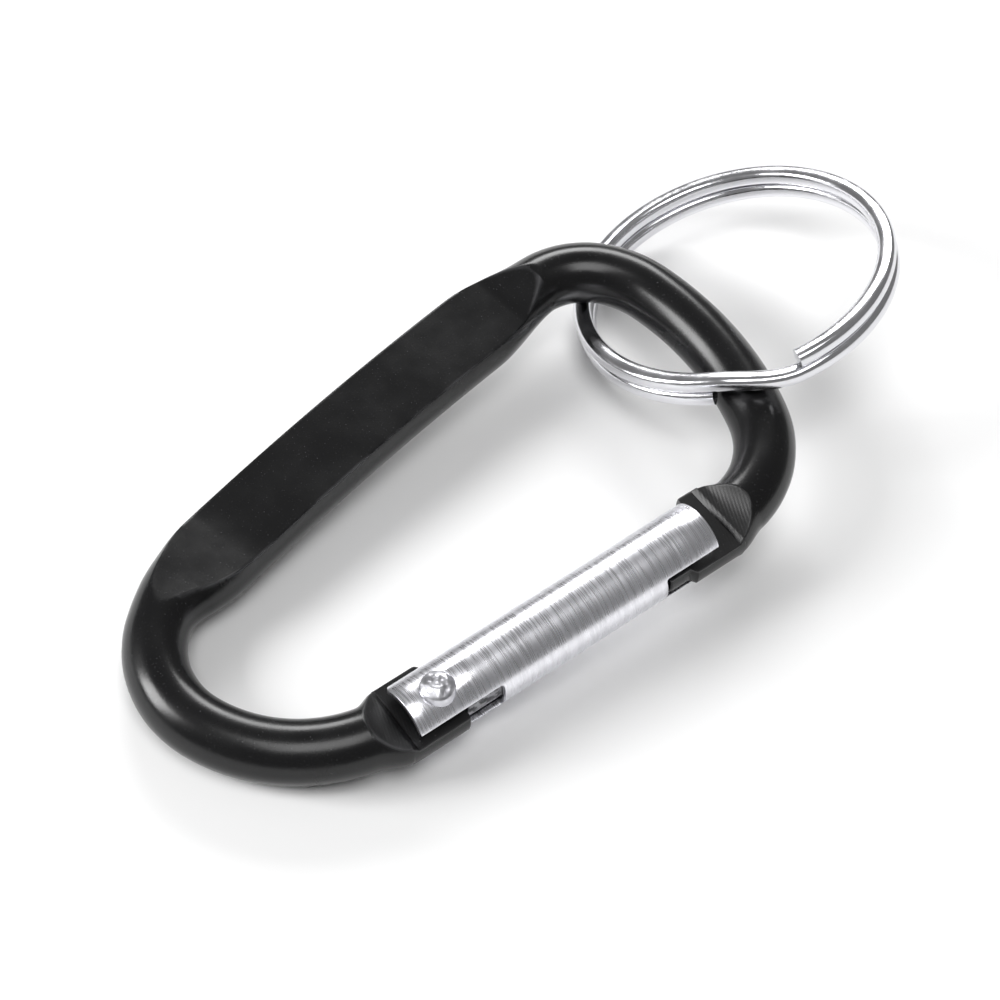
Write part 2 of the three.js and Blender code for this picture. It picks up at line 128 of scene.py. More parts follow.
def shader_group(name, inputs, outputs):
    """An empty shader group with float, colour and vector sockets."""
    group = bpy.data.node_groups.new(name, "ShaderNodeTree")
    for label, kind, value in inputs:
        socket = group.interface.new_socket(label, in_out="INPUT", socket_type=kind)
        if value is not None:
            socket.default_value = value
    for label, kind in outputs:
        group.interface.new_socket(label, in_out="OUTPUT", socket_type=kind)
    return group, group.nodes.new("NodeGroupInput"), group.nodes.new("NodeGroupOutput")


def math_node(tree, operation, first, second=None, clamp=False):
    """A Math node whose inputs are numbers or sockets; gives its output socket."""
    node = tree.nodes.new("ShaderNodeMath")
    node.operation = operation
    node.use_clamp = clamp
    for slot, value in enumerate((first, second)):
        if value is None:
            continue
        if isinstance(value, (int, float)):
            node.inputs[slot].default_value = value
        else:
            tree.links.new(value, node.inputs[slot])
    return node.outputs[0]


def noise_node(tree, vector, scale, detail=2.0, roughness=0.5):
    """A Noise Texture over the given coordinates; gives its value socket."""
    node = tree.nodes.new("ShaderNodeTexNoise")
    tree.links.new(vector, node.inputs["Vector"])
    for label, value in (("Scale", scale), ("Detail", detail), ("Roughness", roughness)):
        if isinstance(value, (int, float)):
            node.inputs[label].default_value = value
        else:
            tree.links.new(value, node.inputs[label])
    return node.outputs["Fac"]


def ramp_between(tree, value, low, high, to_low=0.0, to_high=1.0):
    """A smooth Map Range from low..high to to_low..to_high; gives its output socket."""
    node = tree.nodes.new("ShaderNodeMapRange")
    node.interpolation_type = "SMOOTHSTEP"
    tree.links.new(value, node.inputs["Value"])
    for label, number in (("From Min", low), ("From Max", high),
                          ("To Min", to_low), ("To Max", to_high)):
        node.inputs[label].default_value = number
    return node.outputs["Result"]


def make_speck_group():
    """Fine bright grains and soft cloudy change, as on a blasted and anodised skin."""
    group, inside, outside = shader_group(
        "Skin Specks",
        [("Grain", "NodeSocketFloat", 5200.0), ("Cloud", "NodeSocketFloat", 160.0)],
        [("Specks", "NodeSocketFloat"), ("Clouds", "NodeSocketFloat"),
         ("Height", "NodeSocketFloat")])
    place = group.nodes.new("ShaderNodeTexCoord").outputs["Object"]
    grain = noise_node(group, place, inside.outputs["Grain"], 2.0, 0.6)
    cloud = noise_node(group, place, inside.outputs["Cloud"], 4.0, 0.55)
    specks = ramp_between(group, grain, 0.66, 0.76)
    group.links.new(specks, outside.inputs["Specks"])
    group.links.new(cloud, outside.inputs["Clouds"])
    height = math_node(group, "ADD", grain, math_node(group, "MULTIPLY", cloud, 0.4))
    group.links.new(height, outside.inputs["Height"])
    return group


def make_scratch_group():
    """Scratches that run round a bar lying along X, at two scales, with broken ends."""
    group, inside, outside = shader_group(
        "Turned Scratches",
        [("Along", "NodeSocketFloat", 9000.0), ("Round", "NodeSocketFloat", 260.0)],
        [("Scratches", "NodeSocketFloat"), ("Broad", "NodeSocketFloat")])
    place = group.nodes.new("ShaderNodeTexCoord").outputs["Object"]

    def stretched(along, around):
        parts = group.nodes.new("ShaderNodeSeparateXYZ")
        group.links.new(place, parts.inputs[0])
        joined = group.nodes.new("ShaderNodeCombineXYZ")
        for axis, factor in (("X", along), ("Y", around), ("Z", around)):
            scaled = math_node(group, "MULTIPLY", parts.outputs[axis], factor)
            group.links.new(scaled, joined.inputs[axis])
        return joined.outputs[0]

    fine = noise_node(group, stretched(inside.outputs["Along"], inside.outputs["Round"]), 1.0, 3.0)
    half = math_node(group, "MULTIPLY", inside.outputs["Along"], 0.22)
    less = math_node(group, "MULTIPLY", inside.outputs["Round"], 0.7)
    broad = noise_node(group, stretched(half, less), 1.0, 2.0)
    group.links.new(fine, outside.inputs["Scratches"])
    group.links.new(broad, outside.inputs["Broad"])
    return group


GROUPS = {}


def shared_group(name):
    """Gives a shared shader group, building it the first time."""
    if name not in GROUPS:
        GROUPS[name] = {"specks": make_speck_group, "scratches": make_scratch_group}[name]()
    return GROUPS[name]


def new_material(name):
    """An empty node material; gives the material, its tree and its Principled node."""
    material = bpy.data.materials.new(name)
    material.use_nodes = True
    tree = material.node_tree
    return material, tree, tree.nodes["Principled BSDF"]


def use_group(tree, name, **values):
    """Places a shared group in a material, with its own numbers."""
    node = tree.nodes.new("ShaderNodeGroup")
    node.node_tree = shared_group(name)
    for label, value in values.items():
        node.inputs[label].default_value = value
    return node


def mix_colour(tree, factor, first, second):
    """A colour Mix whose colours are tuples or sockets; gives its output socket."""
    node = tree.nodes.new("ShaderNodeMix")
    node.data_type = "RGBA"
    tree.links.new(factor, node.inputs["Factor"])
    for slot, value in ((6, first), (7, second)):
        if isinstance(value, (tuple, list)):
            node.inputs[slot].default_value = (*value, 1.0)
        else:
            tree.links.new(value, node.inputs[slot])
    return node.outputs[2]


def bump(tree, principled, height, strength, distance):
    """Feeds a height through a Bump node to the surface's normal."""
    node = tree.nodes.new("ShaderNodeBump")
    node.inputs["Strength"].default_value = strength
    node.inputs["Distance"].default_value = distance
    tree.links.new(height, node.inputs["Height"])
    tree.links.new(node.outputs["Normal"], principled.inputs["Normal"])


def attribute_value(tree, name):
    """Reads a named number stored on the piece's points."""
    node = tree.nodes.new("ShaderNodeAttribute")
    node.attribute_name = name
    return node.outputs["Fac"]


def anodised_black():
    """Satin black anodised skin: fine bright specks, cloudy gloss, paler worn edges."""
    colour = tuple(bpy.context.scene.keyring_colours.anodised)
    material, tree, skin = new_material("Anodised Black")
    specks = use_group(tree, "specks", Grain=5200.0, Cloud=170.0)
    worn = attribute_value(tree, "worn")
    milled = attribute_value(tree, "milled")
    lifted = mix_colour(tree, math_node(tree, "MULTIPLY", specks.outputs["Specks"], 0.5),
                        colour, (0.11, 0.11, 0.115))
    rubbed = math_node(tree, "MULTIPLY", worn,
                       ramp_between(tree, specks.outputs["Clouds"], 0.38, 0.62))
    base = mix_colour(tree, math_node(tree, "MULTIPLY", rubbed, 0.55), lifted, (0.10, 0.10, 0.105))
    tree.links.new(base, skin.inputs["Base Color"])
    skin.inputs["Metallic"].default_value = 0.0
    skin.inputs["Specular IOR Level"].default_value = 0.42
    gloss = ramp_between(tree, specks.outputs["Clouds"], 0.3, 0.7, 0.2, 0.28)
    rough = math_node(tree, "ADD", gloss, math_node(tree, "MULTIPLY", milled, 0.18))
    tree.links.new(rough, skin.inputs["Roughness"])
    # Cutter marks lie across the milled scoops only.
    place = tree.nodes.new("ShaderNodeTexCoord").outputs["Object"]
    marks = tree.nodes.new("ShaderNodeTexWave")
    marks.wave_type = "BANDS"
    marks.bands_direction = "X"
    marks.inputs["Scale"].default_value = 1100.0
    marks.inputs["Distortion"].default_value = 0.6
    marks.inputs["Detail"].default_value = 1.0
    turned = tree.nodes.new("ShaderNodeMapping")
    turned.inputs["Rotation"].default_value = (0.0, 0.0, math.radians(20.0))
    tree.links.new(place, turned.inputs["Vector"])
    tree.links.new(turned.outputs["Vector"], marks.inputs["Vector"])
    cut = math_node(tree, "MULTIPLY", marks.outputs["Fac"], milled)
    height = math_node(tree, "ADD", math_node(tree, "MULTIPLY", specks.outputs["Height"], 0.5),
                       math_node(tree, "MULTIPLY", cut, 0.5))
    bump(tree, skin, height, 0.35, 0.00003)
    return material


def drawn_aluminium():
    """Bright drawn tube with fine scratches round it."""
    colour = tuple(bpy.context.scene.keyring_colours.aluminium)
    material, tree, skin = new_material("Drawn Aluminium")
    lines = use_group(tree, "scratches", Along=9000.0, Round=240.0)
    shade = ramp_between(tree, lines.outputs["Broad"], 0.3, 0.7)
    base = mix_colour(tree, shade, tuple(0.9 * c for c in colour), colour)
    tree.links.new(base, skin.inputs["Base Color"])
    skin.inputs["Metallic"].default_value = 1.0
    rough = ramp_between(tree, lines.outputs["Scratches"], 0.3, 0.7, 0.24, 0.36)
    tree.links.new(rough, skin.inputs["Roughness"])
    height = math_node(tree, "ADD", lines.outputs["Scratches"],
                       math_node(tree, "MULTIPLY", lines.outputs["Broad"], 1.5))
    bump(tree, skin, height, 0.18, 0.00003)
    return material


def hammered_aluminium():
    """Peened rivet head: facets, with painted shade and dark reflection in the hollows."""
    material, tree, skin = new_material("Hammered Aluminium")
    specks = use_group(tree, "specks", Grain=3400.0, Cloud=900.0)
    shaded_dents = attribute_value(tree, "shaded_dents")
    # Painted shade: the peened hollows are darkened in the base colour, standing in for the dark
    # reflection on the head.
    painted_hollow_shade = math_node(tree, "MULTIPLY", shaded_dents, specks.outputs["Clouds"], clamp=True)
    base = mix_colour(tree, painted_hollow_shade, (0.74, 0.74, 0.78), (0.22, 0.22, 0.24))
    tree.links.new(base, skin.inputs["Base Color"])
    skin.inputs["Metallic"].default_value = 1.0
    rough = ramp_between(tree, specks.outputs["Clouds"], 0.3, 0.7, 0.28, 0.45)
    tree.links.new(rough, skin.inputs["Roughness"])
    bump(tree, skin, specks.outputs["Height"], 0.5, 0.00005)
    return material


def plated_nickel():
    """Polished plated wire with faint draw lines and soft waviness."""
    colour = tuple(bpy.context.scene.keyring_colours.nickel)
    material, tree, skin = new_material("Plated Nickel")
    specks = use_group(tree, "specks", Grain=4200.0, Cloud=420.0)
    base = mix_colour(tree, specks.outputs["Clouds"], tuple(0.92 * c for c in colour), colour)
    tree.links.new(base, skin.inputs["Base Color"])
    skin.inputs["Metallic"].default_value = 1.0
    rough = ramp_between(tree, specks.outputs["Clouds"], 0.35, 0.65, 0.14, 0.24)
    tree.links.new(rough, skin.inputs["Roughness"])
    bump(tree, skin, specks.outputs["Clouds"], 0.35, 0.00008)
    return material


def spring_steel():
    """Drawn spring wire."""
    material, tree, skin = new_material("Spring Steel")
    lines = use_group(tree, "scratches", Along=2600.0, Round=2200.0)
    base = mix_colour(tree, lines.outputs["Broad"], (0.42, 0.42, 0.44), (0.60, 0.60, 0.62))
    tree.links.new(base, skin.inputs["Base Color"])
    skin.inputs["Metallic"].default_value = 1.0
    rough = ramp_between(tree, lines.outputs["Scratches"], 0.3, 0.7, 0.28, 0.42)
    tree.links.new(rough, skin.inputs["Roughness"])
    bump(tree, skin, lines.outputs["Scratches"], 0.3, 0.00002)
    return material


def dull_plug_metal():
    """Mottled dark plug with small bright spots."""
    material, tree, skin = new_material("Dull Plug Metal")
    specks = use_group(tree, "specks", Grain=1500.0, Cloud=1100.0)
    base = mix_colour(tree, ramp_between(tree, specks.outputs["Clouds"], 0.42, 0.6),
                      (0.07, 0.07, 0.075), (0.38, 0.38, 0.40))
    tree.links.new(base, skin.inputs["Base Color"])
    skin.inputs["Metallic"].default_value = 0.9
    rough = ramp_between(tree, specks.outputs["Clouds"], 0.3, 0.7, 0.35, 0.55)
    tree.links.new(rough, skin.inputs["Roughness"])
    bump(tree, skin, specks.outputs["Height"], 0.6, 0.00008)
    return material


def pale_floor():
    """Plain matt floor with a barely seen tooth."""
    colour = tuple(bpy.context.scene.keyring_colours.floor)
    material, tree, skin = new_material("Pale Floor")
    specks = use_group(tree, "specks", Grain=900.0, Cloud=12.0)
    base = mix_colour(tree, specks.outputs["Clouds"], colour, tuple(0.985 * c for c in colour))
    tree.links.new(base, skin.inputs["Base Color"])
    skin.inputs["Roughness"].default_value = 0.8
    skin.inputs["Specular IOR Level"].default_value = 0.2
    return material


# ---- mesh making -------------------------------------------------------------------------


def smooth(t):
    """Eases from 0 to 1."""
    c = min(max(t, 0.0), 1.0)
    return c * c * (3.0 - 2.0 * c)


def mesh_piece(name, points, faces, material, values=None, crease_angle=32.0):
    """A finished object at the origin from points in metres, smooth between its creases."""
    mesh = bpy.data.meshes.new(name)
    mesh.from_pydata([tuple(p) for p in points], [], faces)
    mesh.validate()
    for label, numbers in (values or {}).items():
        layer = mesh.attributes.new(label, "FLOAT", "POINT")
        layer.data.foreach_set("value", numbers)
    mesh.materials.append(material)
    mesh.shade_smooth()
    mesh.set_sharp_from_angle(angle=math.radians(crease_angle))
    piece = bpy.data.objects.new(name, mesh)
    bpy.context.scene.collection.objects.link(piece)
    return piece


def skin_rings(rings, closed_ends=True):
    """Joins equal rings of points with quads; each end is closed by a fan round its middle."""
    count = len(rings[0])
    points = [p for ring in rings for p in ring]
    faces = []
    for row in range(len(rings) - 1):
        a, b = row * count, (row + 1) * count
        for i in range(count):
            j = (i + 1) % count
            faces.append((a + i, a + j, b + j, b + i))
    if closed_ends:
        for row, order in ((0, -1), (len(rings) - 1, 1)):
            middle = len(points)
            points.append(sum((Vector(p) for p in rings[row]), Vector()) / count)
            base = row * count
            for i in range(count):
                j = (i + 1) % count
                faces.append((base + i, base + j, middle)[::order])
    return points, faces


def modified_mesh(piece):
    """Turns a piece's live modifiers into its plain mesh and removes them."""
    graph = bpy.context.evaluated_depsgraph_get()
    graph.update()
    mesh = bpy.data.meshes.new_from_object(piece.evaluated_get(graph), depsgraph=graph)
    piece.modifiers.clear()
    piece.data = mesh
    return piece


def attach(piece, body, node):
    """The piece rides on its body and stands in for the CAD node, which is hidden."""
    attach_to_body(piece, body)
    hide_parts(node)


def set_input(modifier, label, value):
    """Sets a Geometry Nodes input by its socket's identifier."""
    for item in modifier.node_group.interface.items_tree:
        if item.item_type == "SOCKET" and item.in_out == "INPUT" and item.name == label:
            modifier[item.identifier] = value
            return
    raise ValueError("no input called " + label)


# ---- the bent rod ------------------------------------------------------------------------

# The rod's centreline in millimetres from the pivot: length and clockwise turn of each piece,
# from the hinge blade's tip round to the nose.
HINGE_TIP = 1.5
HINGE_STRAIGHT = 3.6
HEEL = ((15.65, 69.0), (10.0, 96.5))
SPINE_LENGTH, SPINE_BOW = 48.0, 7.5
HEAD = ((8.05, 60.5), (10.9, 24.0))
SLANT_LENGTH, SLANT_BOW = 18.0, 31.7
FLAT_BACK = 27.0
HEEL_RAMP, HEAD_RAMP, HEAD_RAMP_PAST = 11.0, 5.0, 1.0
WIDENING = 9.0
RIDGE = 1.35
SCOOP_LENGTH = 2.6
HINGE_RIDGE = -TUBE_TAIL - 1.1
NOSE_RIDGE = TUBE_REACH + 2.6
NOSE_TIP = TUBE_REACH - 5.8
NOSE_LIP = TUBE_REACH - 3.0
BLADE_HALF = 3.8
CREASE = 0.1
TUBE_INSIDE = 2.925
SLOT_GAP, NOSE_SLOT_GAP = 0.7, 0.5
HINGE_SLOT_REACH, INNER_SLOT_REACH = 5.6, 3.6
SLOT_CORNER = 0.3
OUTER_EAR_CORNER, INNER_EAR_CORNER = 0.3, 1.6
CRIMP_PLACE, CRIMP_DEPTH, CRIMP_RADIUS = 19.6, 1.3, 1.9
RIVET_HOLE = 1.06
TUBE_SIDES = 144


class BarPath:
    """Tangent arcs in the frame's mid-plane, all turning clockwise, in millimetres."""

    def __init__(self, x, y, heading):
        self.end = (x, y, heading)
        self.pieces = []
        self.length = 0.0

    def add(self, length, turn_degrees):
        self.pieces.append((*self.end, length, math.radians(turn_degrees), self.length))
        self.length += length
        self.end = self.at(self.length)

    def add_arc(self, radius, turn_degrees):
        self.add(radius * math.radians(turn_degrees), turn_degrees)

    def at(self, distance):
        chosen = self.pieces[0]
        for piece in self.pieces:
            if distance >= piece[5]:
                chosen = piece
        x, y, heading, length, turn, start = chosen
        along = distance - start
        now = heading - turn * along / length
        if turn == 0.0:
            return x + along * math.cos(now), y + along * math.sin(now), now
        radius = length / turn
        return (x - radius * (math.sin(now) - math.sin(heading)),
                y + radius * (math.cos(now) - math.cos(heading)), now)


def bar_path():
    """The whole centreline, with the distances where the spine starts and ends."""
    path = BarPath(HINGE_TIP, 0.0, math.pi)
    path.add(HINGE_TIP + HINGE_STRAIGHT, 0.0)
    for radius, turn in HEEL:
        path.add_arc(radius, turn)
    spine_start = path.length
    path.add(SPINE_LENGTH, SPINE_BOW)
    spine_end = path.length
    for radius, turn in HEAD:
        path.add_arc(radius, turn)
    path.add(SLANT_LENGTH, SLANT_BOW)
    turned = SPINE_BOW + SLANT_BOW + sum(turn for _, turn in HEEL + HEAD)
    rest = 360.0 - turned
    path.add_arc(path.end[1] / (1.0 - math.cos(math.radians(rest))), rest)
    path.add(path.end[0] - NOSE_TIP, 0.0)
    return path, spine_start, spine_end


def pressed(distance, spine_start, spine_end):
    """How far the press has closed, 0 on the round rod and 1 on the flat, and the rod's spread."""
    start = spine_start - HEEL[1][0] * math.radians(FLAT_BACK)
    end = spine_end + HEAD_RAMP_PAST

    def knee(t):
        if t >= 1.1:
            return 1.0
        return max(t, 0.0) - max(t - 0.9, 0.0) ** 2 / 0.4

    flat = min(knee((distance - start) / HEEL_RAMP), knee((end - distance) / HEAD_RAMP))
    spread = min(smooth((distance - start) / WIDENING), smooth((end - distance) / WIDENING))
    return flat, spread


def milled_half(x, side):
    """Half thickness left by the cutter at x, and whether the surface there is a milled one."""
    into = (HINGE_RIDGE - x) if side == "hinge" else (x - NOSE_RIDGE)
    blade = bpy.context.scene.keyring_sizes.blade / MM / 2.0
    full = bpy.context.scene.keyring_sizes.rod / MM / 2.0 + CREASE
    if into < -0.5:
        return blade, 0.6
    if into < 0.0:
        return blade + (RIDGE - blade) * (1.0 + into / 0.5) ** 0.8, 0.8
    t = into / SCOOP_LENGTH
    if t < 1.0:
        return RIDGE + (full - RIDGE) * (0.5 * t + 0.5 * t ** 2.2), 1.0
    return full + (into - SCOOP_LENGTH) * 2.0, 0.0


def blade_reach(x, side):
    """Outer and inner half widths of the blade at x, as its plan outline goes."""
    outer = inner = BLADE_HALF
    if side == "hinge":
        if x < HINGE_RIDGE + 0.6:
            outer = inner = BLADE_HALF - 0.1 * (HINGE_RIDGE + 0.6 - x)
        if x > HINGE_TIP - 0.3:
            t = (x - HINGE_TIP + 0.3) / 0.3
            outer = BLADE_HALF - 0.3 + 0.3 * math.sqrt(max(1.0 - t * t, 0.0))
        if x > HINGE_TIP - 1.4:
            t = (x - HINGE_TIP + 1.4) / 1.4
            inner = BLADE_HALF - (BLADE_HALF - 0.2) * t ** 2.6
        return outer, inner
    tongue = TUBE_INSIDE + 0.2
    if x < NOSE_LIP:
        outer = BLADE_HALF - (BLADE_HALF - tongue) * smooth((NOSE_LIP - x) / 0.5)
        if x < NOSE_TIP + 0.3:
            t = 1.0 - (x - NOSE_TIP) / 0.3
            outer = tongue - 0.3 * (1.0 - math.sqrt(max(1.0 - t * t, 0.0)))
    inside = TUBE_INSIDE - 0.35
    if x < TUBE_REACH + 0.33:
        inner = inside
        if x < NOSE_TIP + 1.6:
            inner = 0.9 + (inside - 0.9) * (x - NOSE_TIP) / 1.6
    elif x < NOSE_RIDGE - 0.8:
        inner = inside + (BLADE_HALF + 0.1 - inside) * smooth((x - TUBE_REACH - 0.33) / 0.25)
    else:
        inner = BLADE_HALF + 0.1 - 0.1 * smooth((x - NOSE_RIDGE + 0.8) / 0.8)
    return outer, inner


def section(radius, half, outer, inner, count=72):
    """Points (across, up, edge) round a bar clipped to +-half, crowded at its creases."""
    corner = math.asin(min(half / radius, math.sin(math.radians(74.0))))
    quarter = count // 4
    angles = []
    for i in range(quarter):
        angles.append(-corner * math.cos(math.pi * i / quarter))
    reach = math.cos(corner)
    for i in range(quarter):
        angles.append(math.acos(reach * math.cos(math.pi * i / quarter)))
    angles += [a + math.pi for a in angles]
    points = []
    for angle in angles:
        high = radius * math.sin(angle)
        size = abs(high)
        if size > half + CREASE:
            flat = half
        elif size > half - CREASE:
            flat = size - (size - half + CREASE) ** 2 / (4.0 * CREASE)
        else:
            flat = size
        edge = max(0.0, 1.0 - abs(size - half) / 0.28)
        across = math.cos(angle) * (inner if math.cos(angle) > 0.0 else outer)
        points.append((across, math.copysign(flat, high), edge))
    return points


def stations(length, fine_spans):
    """Distances along the rod, close together where the shape changes quickly."""
    marks = []
    distance = 0.0
    while distance < length:
        marks.append(distance)
        step = 0.55
        for low, high, fine in fine_spans:
            if low - 0.01 <= distance < high:
                step = min(step, fine)
        distance += step
    marks.append(length)
    return marks


class KEYRING_OT_frame(bpy.types.Operator):
    """Build the bent rod with its pressed spine and milled ends"""

    bl_idname = "keyring.frame"
    bl_label = "Frame Rod"

    def execute(self, context):
        sizes = context.scene.keyring_sizes
        rod = sizes.rod / MM / 2.0
        path, spine_start, spine_end = bar_path()
        start_press = spine_start - HEEL[1][0] * math.radians(FLAT_BACK)
        nose_from = path.length - (NOSE_RIDGE + SCOOP_LENGTH + 1.0 - NOSE_TIP)
        spans = [(0.0, HINGE_TIP - HINGE_RIDGE + SCOOP_LENGTH + 0.6, 0.085),
                 (nose_from, path.length, 0.085),
                 (start_press - 1.0, start_press + HEEL_RAMP + 2.0, 0.25),
                 (spine_end - 6.0, spine_end + 2.0, 0.15)]
        rings, worn, milled = [], [], []
        for distance in stations(path.length, spans):
            x, y, heading = path.at(distance)
            side = "hinge" if distance < spine_start else "nose"
            press, spread = pressed(distance, spine_start, spine_end)
            radius = rod + (sizes.spine_width / MM / 2.0 - rod) * spread
            half = rod + CREASE + (sizes.spine_thickness / MM / 2.0 - rod - CREASE) * press
            outer = inner = radius
            cut, marked = milled_half(x, side)
            straight = distance < HINGE_TIP + HINGE_STRAIGHT + 4.5 or distance > nose_from - 2.0
            if straight and cut < half + 3.0:
                into = (HINGE_RIDGE - x) if side == "hinge" else (x - NOSE_RIDGE)
                swage = (BLADE_HALF - rod) * (1.0 - smooth(into / 2.6))
                if into < 0.0:
                    outer, inner = blade_reach(x, side)
                    radius = BLADE_HALF
                else:
                    outer, inner = rod + swage, rod + swage
                half = min(half, cut)
            else:
                marked = 0.0
            across = Vector((math.sin(heading), -math.cos(heading), 0.0))
            middle = HUB + Vector((x, y, 0.0)) * MM
            ring = []
            for over, up, edge in section(radius, half, outer, inner):
                ring.append(middle + (across * over + Vector((0.0, 0.0, up))) * MM)
                worn.append(edge if half < rod - 0.15 else 0.0)
                milled.append(marked if abs(up) > half - 0.16 else 0.0)
            rings.append(ring)
        points, faces = skin_rings(rings)
        worn += [0.0, 0.0]
        milled += [0.0, 0.0]
        piece = mesh_piece("frame_rod", points, faces, anodised_black(),
                           {"worn": worn, "milled": milled}, 24.0)
        attach(piece, "frame", "frame")
        return {"FINISHED"}


# ---- the gate ----------------------------------------------------------------------------


def lathe_x(profile, sides):
    """Rings about the gate's axis from (x, radius) pairs in millimetres."""
    rings = []
    for x, radius in profile:
        ring = []
        for i in range(sides):
            angle = TURN * i / sides
            ring.append(HUB + Vector((x, radius * math.sin(angle), radius * math.cos(angle))) * MM)
        rings.append(ring)
    return rings


def prism(outline, low, high, spread):
    """A closed prism for cutting: outline points stand in a plane and are spread along a vector."""
    bottom = [p + spread * low for p in outline]
    top = [p + spread * high for p in outline]
    count = len(outline)
    faces = [tuple(range(count))[::-1], tuple(range(count, 2 * count))]
    for i in range(count):
        j = (i + 1) % count
        faces.append((i, j, count + j, count + i))
    return bottom + top, faces


def turn_outwards(mesh):
    """Merges doubled points and turns the faces outwards."""
    work = bmesh.new()
    work.from_mesh(mesh)
    bmesh.ops.remove_doubles(work, verts=work.verts, dist=1e-7)
    bmesh.ops.recalc_face_normals(work, faces=work.faces)
    work.to_mesh(mesh)
    work.free()


def cutter(name, points, faces):
    """A bare object used to cut another; its faces are turned outwards."""
    mesh = bpy.data.meshes.new(name)
    mesh.from_pydata([tuple(p) for p in points], [], faces)
    turn_outwards(mesh)
    tool = bpy.data.objects.new(name, mesh)
    bpy.context.scene.collection.objects.link(tool)
    return tool


def slot_outline(start, end, half, forward):
    """A slot seen from its open side: open at the start, square with soft corners at the end."""
    corner = SLOT_CORNER
    flat = [(start, -half)]
    for side in (-1.0, 1.0):
        arc = []
        for i in range(9):
            angle = math.pi / 2.0 * i / 8
            arc.append((end - forward * corner * (1.0 - math.sin(angle)),
                        side * (half - corner * (1.0 - math.cos(angle)))))
        flat += arc[::-int(side)]
    flat.append((start, half))
    return [HUB + Vector((x, 0.0, z)) * MM for x, z in flat]


class KEYRING_OT_gate_tube(bpy.types.Operator):
    """Build the slotted gate tube with rounded ears and its crimp"""

    bl_idname = "keyring.gate_tube"
    bl_label = "Gate Tube"

    def execute(self, context):
        sizes = context.scene.keyring_sizes
        outer = sizes.tube / MM / 2.0
        inner = outer - sizes.tube_wall / MM
        rim = 0.1
        crimp = CRIMP_PLACE
        xs = [-TUBE_TAIL, -2.0, 0.0, 4.0, 9.0, 14.0]
        xs += [crimp - 3.2 + 0.32 * i for i in range(21)]
        xs += [24.0, 27.5, TUBE_REACH]
        outside = [(-TUBE_TAIL, outer - rim), (-TUBE_TAIL + 0.03, outer - 0.04),
                   (-TUBE_TAIL + rim, outer)]
        outside += [(x, outer) for x in xs[1:-1]]
        outside += [(TUBE_REACH - rim, outer), (TUBE_REACH - 0.03, outer - 0.04),
                    (TUBE_REACH, outer - rim)]
        inside = [(x, inner) for x in reversed(xs)]
        rings = lathe_x(outside + inside, TUBE_SIDES)
        points, faces = skin_rings(rings, closed_ends=False)
        last = (len(rings) - 1) * TUBE_SIDES
        for i in range(TUBE_SIDES):
            j = (i + 1) % TUBE_SIDES
            faces.append((last + i, last + j, j, i))
        dented = []
        foot = HUB + Vector((crimp, 0.0, -outer)) * MM
        for p in points:
            away = math.hypot(p.x - foot.x, p.y - foot.y) / MM
            depth = CRIMP_DEPTH * (1.0 - smooth(away / CRIMP_RADIUS))
            if p.z >= HUB.z:
                depth = 0.0
            dented.append(p + Vector((0.0, 0.0, depth * MM)))
        tube = mesh_piece("gate_sleeve", dented, faces, drawn_aluminium())
        turn_outwards(tube.data)
        half = sizes.blade / MM / 2.0 + SLOT_GAP
        down = Vector((0.0, -1.0, 0.0))
        tools = []
        slots = (("outer_hinge", -TUBE_TAIL - 1.0, HINGE_SLOT_REACH, 1.0, down),
                 ("inner_hinge", -TUBE_TAIL - 1.0, INNER_SLOT_REACH, 1.0, -down),
                 ("outer_nose", TUBE_REACH + 1.0, NOSE_TIP - NOSE_SLOT_GAP, -1.0, down))
        for name, start, end, forward, spread in slots:
            outline = slot_outline(start, end, half, forward)
            tools.append(cutter(name, *prism(outline, 0.0, 5.0 * MM, spread)))
        # The ears' corners are rounded in plan, the inner ones more than the outer ones.
        for side, ear in ((-1.0, OUTER_EAR_CORNER), (1.0, INNER_EAR_CORNER)):
            edge = side * outer
            outline = [(-TUBE_TAIL - 1.0, edge - side * ear)]
            for i in range(13):
                angle = math.pi / 2 * i / 12
                outline.append((-TUBE_TAIL + ear - ear * math.cos(angle),
                                edge - side * ear + side * ear * math.sin(angle)))
            outline += [(-TUBE_TAIL + ear, edge + side), (-TUBE_TAIL - 1.0, edge + side)]
            flat = [HUB + Vector((x, y, 0.0)) * MM for x, y in outline]
            up = Vector((0.0, 0.0, 1.0))
            tools.append(cutter("ear_corner", *prism(flat, -5.0 * MM, 5.0 * MM, up)))
        hole = [PIVOT + Vector((math.cos(TURN * i / 48), math.sin(TURN * i / 48), 0.0))
                * RIVET_HOLE * MM for i in range(48)]
        tools.append(cutter("rivet_hole", *prism(hole, -5.0 * MM, 5.0 * MM,
                                                 Vector((0.0, 0.0, 1.0)))))
        for tool in tools:
            cut = tube.modifiers.new("Cut", "BOOLEAN")
            cut.operation = "DIFFERENCE"
            cut.solver = "EXACT"
            cut.object = tool
        soft = tube.modifiers.new("Edge", "BEVEL")
        soft.width = 0.05 * MM
        soft.segments = 2
        soft.limit_method = "ANGLE"
        soft.angle_limit = math.radians(40.0)
        modified_mesh(tube)
        for tool in tools:
            bpy.data.objects.remove(tool)
        tube.data.shade_smooth()
        tube.data.set_sharp_from_angle(angle=math.radians(30.0))
        attach(tube, "gate", "gate_tube")
        return {"FINISHED"}


